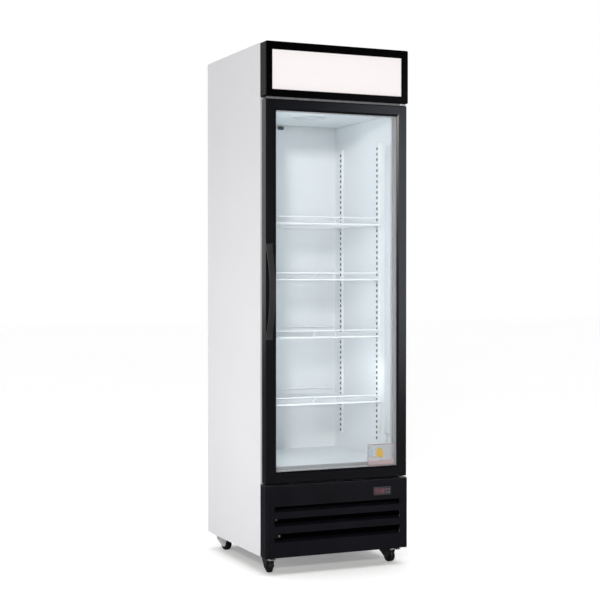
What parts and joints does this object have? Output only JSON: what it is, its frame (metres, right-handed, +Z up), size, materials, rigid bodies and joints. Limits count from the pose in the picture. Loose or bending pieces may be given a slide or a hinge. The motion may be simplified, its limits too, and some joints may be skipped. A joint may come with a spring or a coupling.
{
  "type": "glass door merchandiser",
  "caption": "Upright refrigerated display cabinet with a hinged glass door, lit canopy, wire shelves, lower grille and swivel casters.",
  "frame": {"origin": "on the floor at the centre of the footprint's bounding box, handle included", "axes": "+Z up, -Y the door side, +X the hinge side"},
  "size_m": [0.61, 0.681, 2.04],
  "materials": {
    "case_white": "satin",
    "rear_sheet": "satin",
    "foam": "matte",
    "liner_white": "satin",
    "breaker_grey": "matte",
    "galvanised": "satin",
    "black_gloss": "gloss",
    "sign_acrylic": "satin",
    "lamp_tube": "satin",
    "grille_black": "satin",
    "screw_steel": "satin",
    "controller_black": "satin",
    "display_red": "gloss",
    "button_grey": "satin",
    "door_black": "satin",
    "door_glass": "polished",
    "spacer_grey": "satin",
    "gasket_rubber": "matte",
    "handle_black": "gloss",
    "spring_steel": "satin",
    "bracket_steel": "satin",
    "pilaster_white": "satin",
    "clip_steel": "satin",
    "shelf_white": "gloss",
    "lamp_body": "satin",
    "lamp_lens": "satin",
    "cover_white": "satin",
    "coil_aluminium": "satin",
    "motor_dark": "satin",
    "fan_blade": "satin",
    "coil_black": "satin",
    "shroud_steel": "satin",
    "compressor_black": "satin",
    "grommet_rubber": "matte",
    "copper": "satin",
    "pan_plastic": "matte",
    "box_grey": "matte",
    "caster_zinc": "satin",
    "wheel_black": "matte",
    "pedal_black": "satin"
  },
  "bodies": {
    "cabinet": {"outer_case": "case_white", "rear_panel": "rear_sheet", "rear_vent_panel": "rear_sheet", "foam_insulation": "foam", "inner_liner": "liner_white", "breaker_frame": "breaker_grey", "base_frame": "galvanised", "canopy_frame": "black_gloss", "sign_panel": "sign_acrylic", "sign_lamp": "lamp_tube", "grille_panel": "grille_black", "grille_screws": "screw_steel", "controller_housing": "controller_black", "controller_display": "display_red", "hinge_brackets": "bracket_steel", "shelf_pilasters": "pilaster_white", "shelf_clips": "clip_steel", "lamp_housings": "lamp_body", "lamp_diffusers": "lamp_lens", "evaporator_cover": "cover_white", "evaporator_coil": "coil_aluminium", "evaporator_fan_motor": "motor_dark", "condenser_coil": "coil_black", "condenser_fan_shroud": "shroud_steel", "condenser_fan_motor": "motor_dark", "compressor": "compressor_black", "compressor_mounts": "grommet_rubber", "refrigerant_lines": "copper", "drain_pan": "pan_plastic", "electrical_box": "box_grey", "caster_plates": "caster_zinc"},
    "door": {"door_stile_handle": "door_black", "door_stile_hinge": "door_black", "door_rails": "door_black", "glass_outer": "door_glass", "glass_inner": "door_glass", "glass_spacer": "spacer_grey", "door_gasket": "gasket_rubber", "door_handle": "handle_black", "door_closer": "spring_steel"},
    "button_set": {"controller_button_set": "button_grey"},
    "button_up": {"controller_button_up": "button_grey"},
    "button_defrost": {"controller_button_defrost": "button_grey"},
    "button_down": {"controller_button_down": "button_grey"},
    "shelf_1": {"shelf_1": "shelf_white"},
    "shelf_2": {"shelf_2": "shelf_white"},
    "shelf_3": {"shelf_3": "shelf_white"},
    "shelf_4": {"shelf_4": "shelf_white"},
    "evaporator_fan": {"evaporator_fan_blade": "fan_blade"},
    "condenser_fan": {"condenser_fan_blade": "fan_blade"},
    "fork_front_left": {"caster_fork_front_left": "caster_zinc"},
    "wheel_front_left": {"caster_wheel_front_left": "wheel_black"},
    "fork_front_right": {"caster_fork_front_right": "caster_zinc"},
    "wheel_front_right": {"caster_wheel_front_right": "wheel_black"},
    "fork_rear_left": {"caster_fork_rear_left": "caster_zinc"},
    "wheel_rear_left": {"caster_wheel_rear_left": "wheel_black"},
    "fork_rear_right": {"caster_fork_rear_right": "caster_zinc"},
    "wheel_rear_right": {"caster_wheel_rear_right": "wheel_black"},
    "pedal_front_left": {"brake_pedal_front_left": "pedal_black"},
    "pedal_front_right": {"brake_pedal_front_right": "pedal_black"}
  },
  "joints": [
    {"name": "door_hinge", "type": "hinge", "parent": "cabinet", "child": "door", "pos_m": [0.288, -0.2825, 1.0875], "axis": [0, 0, 1], "range_deg": [0, 110], "stiffness_Nm_per_rad": 1.2, "springref_deg": -34.38},
    {"name": "button_set_press", "type": "slide", "parent": "cabinet", "child": "button_set", "axis": [0, 1, 0], "range_m": [0, 0.0012], "stiffness_N_per_m": 300, "springref_m": -0.0006},
    {"name": "button_up_press", "type": "slide", "parent": "cabinet", "child": "button_up", "axis": [0, 1, 0], "range_m": [0, 0.0012], "stiffness_N_per_m": 300, "springref_m": -0.0006},
    {"name": "button_defrost_press", "type": "slide", "parent": "cabinet", "child": "button_defrost", "axis": [0, 1, 0], "range_m": [0, 0.0012], "stiffness_N_per_m": 300, "springref_m": -0.0006},
    {"name": "button_down_press", "type": "slide", "parent": "cabinet", "child": "button_down", "axis": [0, 1, 0], "range_m": [0, 0.0012], "stiffness_N_per_m": 300, "springref_m": -0.0006},
    {"name": "shelf_1_lift", "type": "slide", "parent": "cabinet", "child": "shelf_1", "axis": [0, 0, 1], "range_m": [0, 0.02]},
    {"name": "shelf_2_lift", "type": "slide", "parent": "cabinet", "child": "shelf_2", "axis": [0, 0, 1], "range_m": [0, 0.02]},
    {"name": "shelf_3_lift", "type": "slide", "parent": "cabinet", "child": "shelf_3", "axis": [0, 0, 1], "range_m": [0, 0.02]},
    {"name": "shelf_4_lift", "type": "slide", "parent": "cabinet", "child": "shelf_4", "axis": [0, 0, 1], "range_m": [0, 0.02]},
    {"name": "evaporator_fan_spin", "type": "hinge", "parent": "cabinet", "child": "evaporator_fan", "pos_m": [0, -0.0365, 1.818], "axis": [0, 0, 1], "continuous": true},
    {"name": "condenser_fan_spin", "type": "hinge", "parent": "cabinet", "child": "condenser_fan", "pos_m": [-0.06, -0.1585, 0.205], "axis": [0, 1, 0], "continuous": true},
    {"name": "fork_front_left_swivel", "type": "hinge", "parent": "cabinet", "child": "fork_front_left", "pos_m": [-0.258, -0.2045, 0.06], "axis": [0, 0, 1], "continuous": true},
    {"name": "wheel_front_left_roll", "type": "hinge", "parent": "fork_front_left", "child": "wheel_front_left", "pos_m": [-0.25974, -0.22442, 0.025], "axis": [0.9962, -0.0872, 0], "continuous": true},
    {"name": "pedal_front_left_press", "type": "hinge", "parent": "fork_front_left", "child": "pedal_front_left", "pos_m": [-0.26096, -0.23837, 0.052], "axis": [0.9962, -0.0872, 0], "range_deg": [0, 18]},
    {"name": "fork_front_right_swivel", "type": "hinge", "parent": "cabinet", "child": "fork_front_right", "pos_m": [0.258, -0.2045, 0.06], "axis": [0, 0, 1], "continuous": true},
    {"name": "wheel_front_right_roll", "type": "hinge", "parent": "fork_front_right", "child": "wheel_front_right", "pos_m": [0.26418, -0.22352, 0.025], "axis": [0.9511, 0.309, 0], "continuous": true},
    {"name": "pedal_front_right_press", "type": "hinge", "parent": "fork_front_right", "child": "pedal_front_right", "pos_m": [0.26851, -0.23684, 0.052], "axis": [0.9511, 0.309, 0], "range_deg": [0, 18]},
    {"name": "fork_rear_left_swivel", "type": "hinge", "parent": "cabinet", "child": "fork_rear_left", "pos_m": [-0.258, 0.2835, 0.06], "axis": [0, 0, 1], "continuous": true},
    {"name": "wheel_rear_left_roll", "type": "hinge", "parent": "fork_rear_left", "child": "wheel_rear_left", "pos_m": [-0.25083, 0.26483, 0.025], "axis": [0.9336, 0.3584, 0], "continuous": true},
    {"name": "fork_rear_right_swivel", "type": "hinge", "parent": "cabinet", "child": "fork_rear_right", "pos_m": [0.258, 0.2835, 0.06], "axis": [0, 0, 1], "continuous": true},
    {"name": "wheel_rear_right_roll", "type": "hinge", "parent": "fork_rear_right", "child": "wheel_rear_right", "pos_m": [0.26318, 0.26418, 0.025], "axis": [0.9659, 0.2588, 0], "continuous": true}
  ]
}
